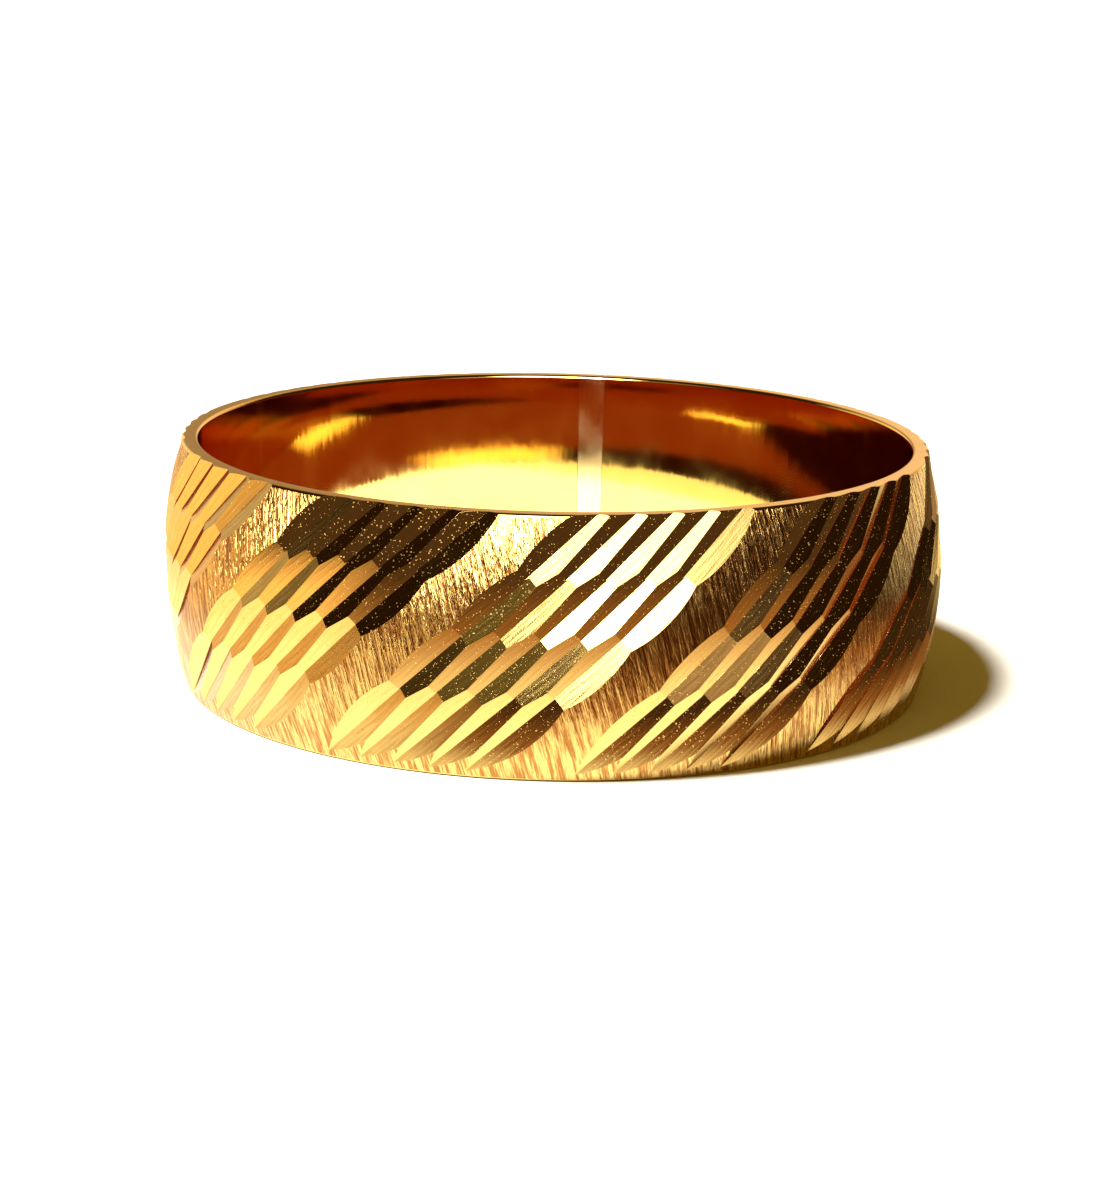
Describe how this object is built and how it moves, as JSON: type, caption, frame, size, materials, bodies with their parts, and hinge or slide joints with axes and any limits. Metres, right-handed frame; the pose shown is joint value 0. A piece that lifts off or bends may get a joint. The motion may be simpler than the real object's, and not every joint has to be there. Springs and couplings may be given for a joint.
{
  "type": "wedding band",
  "caption": "Plain-bored domed finger ring of yellow metal with slanted groups of bright V cuts between brushed stripes, closed by a soldered joint.",
  "frame": {"origin": "centre of the finger bore at the middle of the band's width", "axes": "+Z along the finger bore towards the rim that faces up when the ring lies flat, -Y to the front as pictured, with the solder joint near +Y"},
  "size_m": [0.0192, 0.0192, 0.006],
  "materials": {
    "band_gold": "yellow gold alloy, bright diamond-cut facets, brushed between the groups, polished bore",
    "solder_gold": "paler hard solder, filed flush and polished"
  },
  "bodies": {
    "root": {"band": "band_gold", "solder_seam": "solder_gold"}
  },
  "joints": []
}
